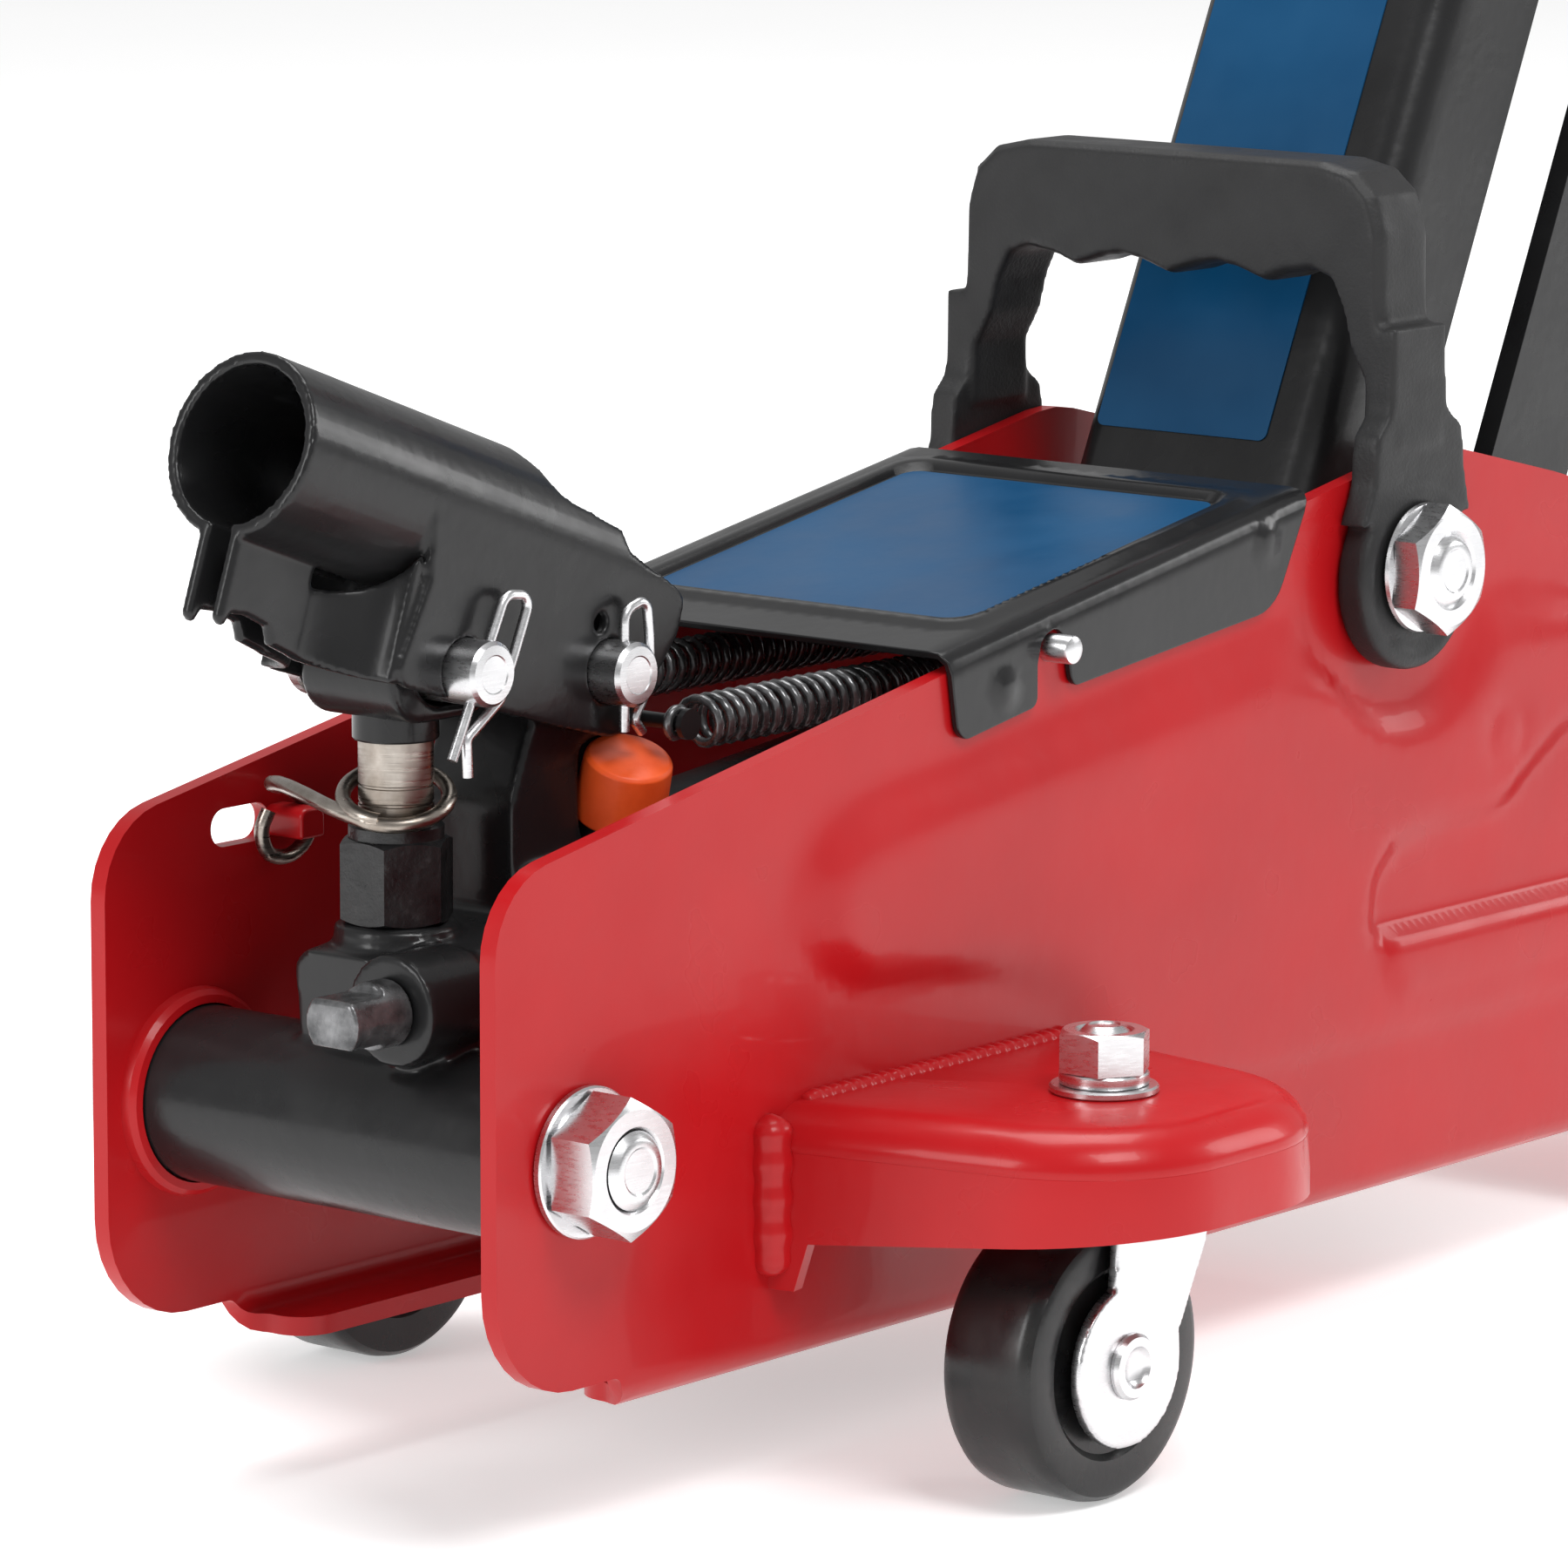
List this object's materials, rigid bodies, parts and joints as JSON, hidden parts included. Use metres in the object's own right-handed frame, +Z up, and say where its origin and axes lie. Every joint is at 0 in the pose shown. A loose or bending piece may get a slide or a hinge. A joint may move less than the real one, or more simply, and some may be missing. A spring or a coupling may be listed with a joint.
{
  "type": "car jack",
  "caption": "Low hydraulic trolley jack with raised lift arm, saddle, pump unit, handle socket, carry handle, swivel casters and front rollers.",
  "frame": {"origin": "centre of the whole jack's footprint at floor level, lift arm raised", "axes": "+X to the front (saddle end), +Y to the left side, +Z up"},
  "size_m": [0.4669, 0.2026, 0.3232],
  "materials": {
    "red_paint": "gloss red paint on pressed steel",
    "black_paint": "semi-gloss black paint",
    "black_gloss": "gloss black paint on sheet steel",
    "label_blue": "plain blue vinyl label",
    "zinc": "bright zinc plate",
    "steel": "oiled bare steel",
    "dark_steel": "blackened steel",
    "cast_iron": "black painted casting",
    "black_plastic": "moulded black plastic",
    "wheel_black": "hard black moulded wheel",
    "orange_plastic": "orange moulded plastic",
    "seal_rubber": "nitrile seal"
  },
  "bodies": {
    "chassis": {"side_plate_left": "red_paint", "side_plate_right": "red_paint", "outrigger_left": "red_paint", "outrigger_right": "red_paint", "tie_plates": "red_paint", "cover_plate": "black_gloss", "cover_label": "label_blue", "cover_pins": "zinc", "pivot_bolt": "zinc", "pivot_nuts": "zinc", "pivot_spacers": "steel", "link_pins": "zinc", "front_axle": "zinc", "front_axle_rings": "zinc", "kingpins": "zinc", "kingpin_fasteners": "zinc", "caster_bearings": "steel"},
    "lift_arm": {"lift_arm": "red_paint", "arm_label": "label_blue", "spring_studs": "zinc", "arm_tip_pin": "zinc"},
    "link_bars": {"link_bar_left": "black_paint", "link_bar_right": "black_paint"},
    "saddle_bracket": {"saddle_bracket": "red_paint", "link_end_pin": "zinc", "link_spacers": "steel"},
    "saddle": {"saddle": "cast_iron", "saddle_clip": "zinc"},
    "power_unit": {"pump_block": "black_paint", "pump_cylinder": "black_paint", "reservoir_tube": "black_paint", "inner_cylinder": "steel", "front_head": "steel", "filler_plug": "orange_plastic", "trunnion_studs": "zinc", "trunnion_fasteners": "zinc", "overload_valve": "steel", "check_balls": "steel", "spring_hanger": "black_paint", "return_springs": "steel", "hook_wire": "steel"},
    "ram": {"ram": "steel", "piston_seal": "seal_rubber", "ram_yoke": "steel", "crosshead_pin": "steel"},
    "release_valve": {"release_valve": "dark_steel"},
    "plunger": {"pump_plunger": "steel", "plunger_head": "black_paint"},
    "handle_socket": {"handle_socket": "black_paint", "socket_pins": "zinc", "r_clips": "zinc"},
    "carry_handle": {"carry_handle": "black_plastic"},
    "caster_left": {"caster_fork_left": "zinc", "caster_axle_left": "zinc"},
    "caster_wheel_left": {"caster_wheel_left": "wheel_black"},
    "front_wheel_left": {"front_wheel_left": "wheel_black"},
    "caster_right": {"caster_fork_right": "zinc", "caster_axle_right": "zinc"},
    "caster_wheel_right": {"caster_wheel_right": "wheel_black"},
    "front_wheel_right": {"front_wheel_right": "wheel_black"}
  },
  "joints": [
    {"name": "lift", "type": "hinge", "parent": "chassis", "child": "lift_arm", "pos_m": [0.00854, 0, 0.1278], "axis": [0, -1, 0], "range_deg": [-73.5, 2], "deforming": ["return_springs"]},
    {"name": "link_swing", "type": "hinge", "parent": "chassis", "child": "link_bars", "pos_m": [0.04284, 0, 0.0952], "axis": [0, -1, 0], "range_deg": [-73.5, 2]},
    {"name": "bracket_level", "type": "hinge", "parent": "lift_arm", "child": "saddle_bracket", "pos_m": [0.08461, 0, 0.29093], "axis": [0, -1, 0], "range_deg": [-2, 73.5]},
    {"name": "saddle_turn", "type": "hinge", "parent": "saddle_bracket", "child": "saddle", "pos_m": [0.09861, 0, 0.30723], "axis": [0, 0, 1], "continuous": true},
    {"name": "unit_tilt", "type": "hinge", "parent": "chassis", "child": "power_unit", "pos_m": [-0.19606, 0, 0.0608], "axis": [0, -1, 0], "range_deg": [-2.7, 0.2], "deforming": ["hook_wire"]},
    {"name": "ram_slide", "type": "slide", "parent": "power_unit", "child": "ram", "axis": [0.9941, 0, 0.1088], "range_m": [-0.052, 0.002]},
    {"name": "release_turn", "type": "hinge", "parent": "power_unit", "child": "release_valve", "pos_m": [-0.21536, -0.013, 0.0815], "axis": [-1, 0, 0], "range_deg": [0, 360]},
    {"name": "socket_pump", "type": "hinge", "parent": "power_unit", "child": "handle_socket", "pos_m": [-0.15836, 0, 0.127], "axis": [0, 1, 0], "range_deg": [-12, 28]},
    {"name": "plunger_slide", "type": "slide", "parent": "power_unit", "child": "plunger", "axis": [0, 0, 1], "range_m": [-0.007, 0.0158]},
    {"name": "carry_swing", "type": "hinge", "parent": "chassis", "child": "carry_handle", "pos_m": [0.00854, 0, 0.1278], "axis": [0, -1, 0], "range_deg": [-5, 40]},
    {"name": "caster_swivel_left", "type": "hinge", "parent": "chassis", "child": "caster_left", "pos_m": [-0.11056, 0.073, 0.05], "axis": [0, 0, 1], "continuous": true},
    {"name": "caster_roll_left", "type": "hinge", "parent": "caster_left", "child": "caster_wheel_left", "pos_m": [-0.11856, 0.073, 0.0219], "axis": [0, 1, 0], "continuous": true},
    {"name": "front_roll_left", "type": "hinge", "parent": "chassis", "child": "front_wheel_left", "pos_m": [0.20264, 0.06, 0.03], "axis": [0, 1, 0], "continuous": true},
    {"name": "caster_swivel_right", "type": "hinge", "parent": "chassis", "child": "caster_right", "pos_m": [-0.11056, -0.073, 0.05], "axis": [0, 0, 1], "continuous": true},
    {"name": "caster_roll_right", "type": "hinge", "parent": "caster_right", "child": "caster_wheel_right", "pos_m": [-0.11856, -0.073, 0.0219], "axis": [0, 1, 0], "continuous": true},
    {"name": "front_roll_right", "type": "hinge", "parent": "chassis", "child": "front_wheel_right", "pos_m": [0.20264, -0.06, 0.03], "axis": [0, 1, 0], "continuous": true}
  ],
  "couplings": [
    {"joint": "link_swing", "follows": "lift", "ratio": 1},
    {"joint": "bracket_level", "follows": "lift", "ratio": -1},
    {"joint": "unit_tilt", "follows": "lift", "ratio": 0.035},
    {"joint": "ram_slide", "follows": "lift", "m_per_rad": 0.03928},
    {"joint": "plunger_slide", "follows": "socket_pump", "m_per_rad": 0.0315}
  ]
}
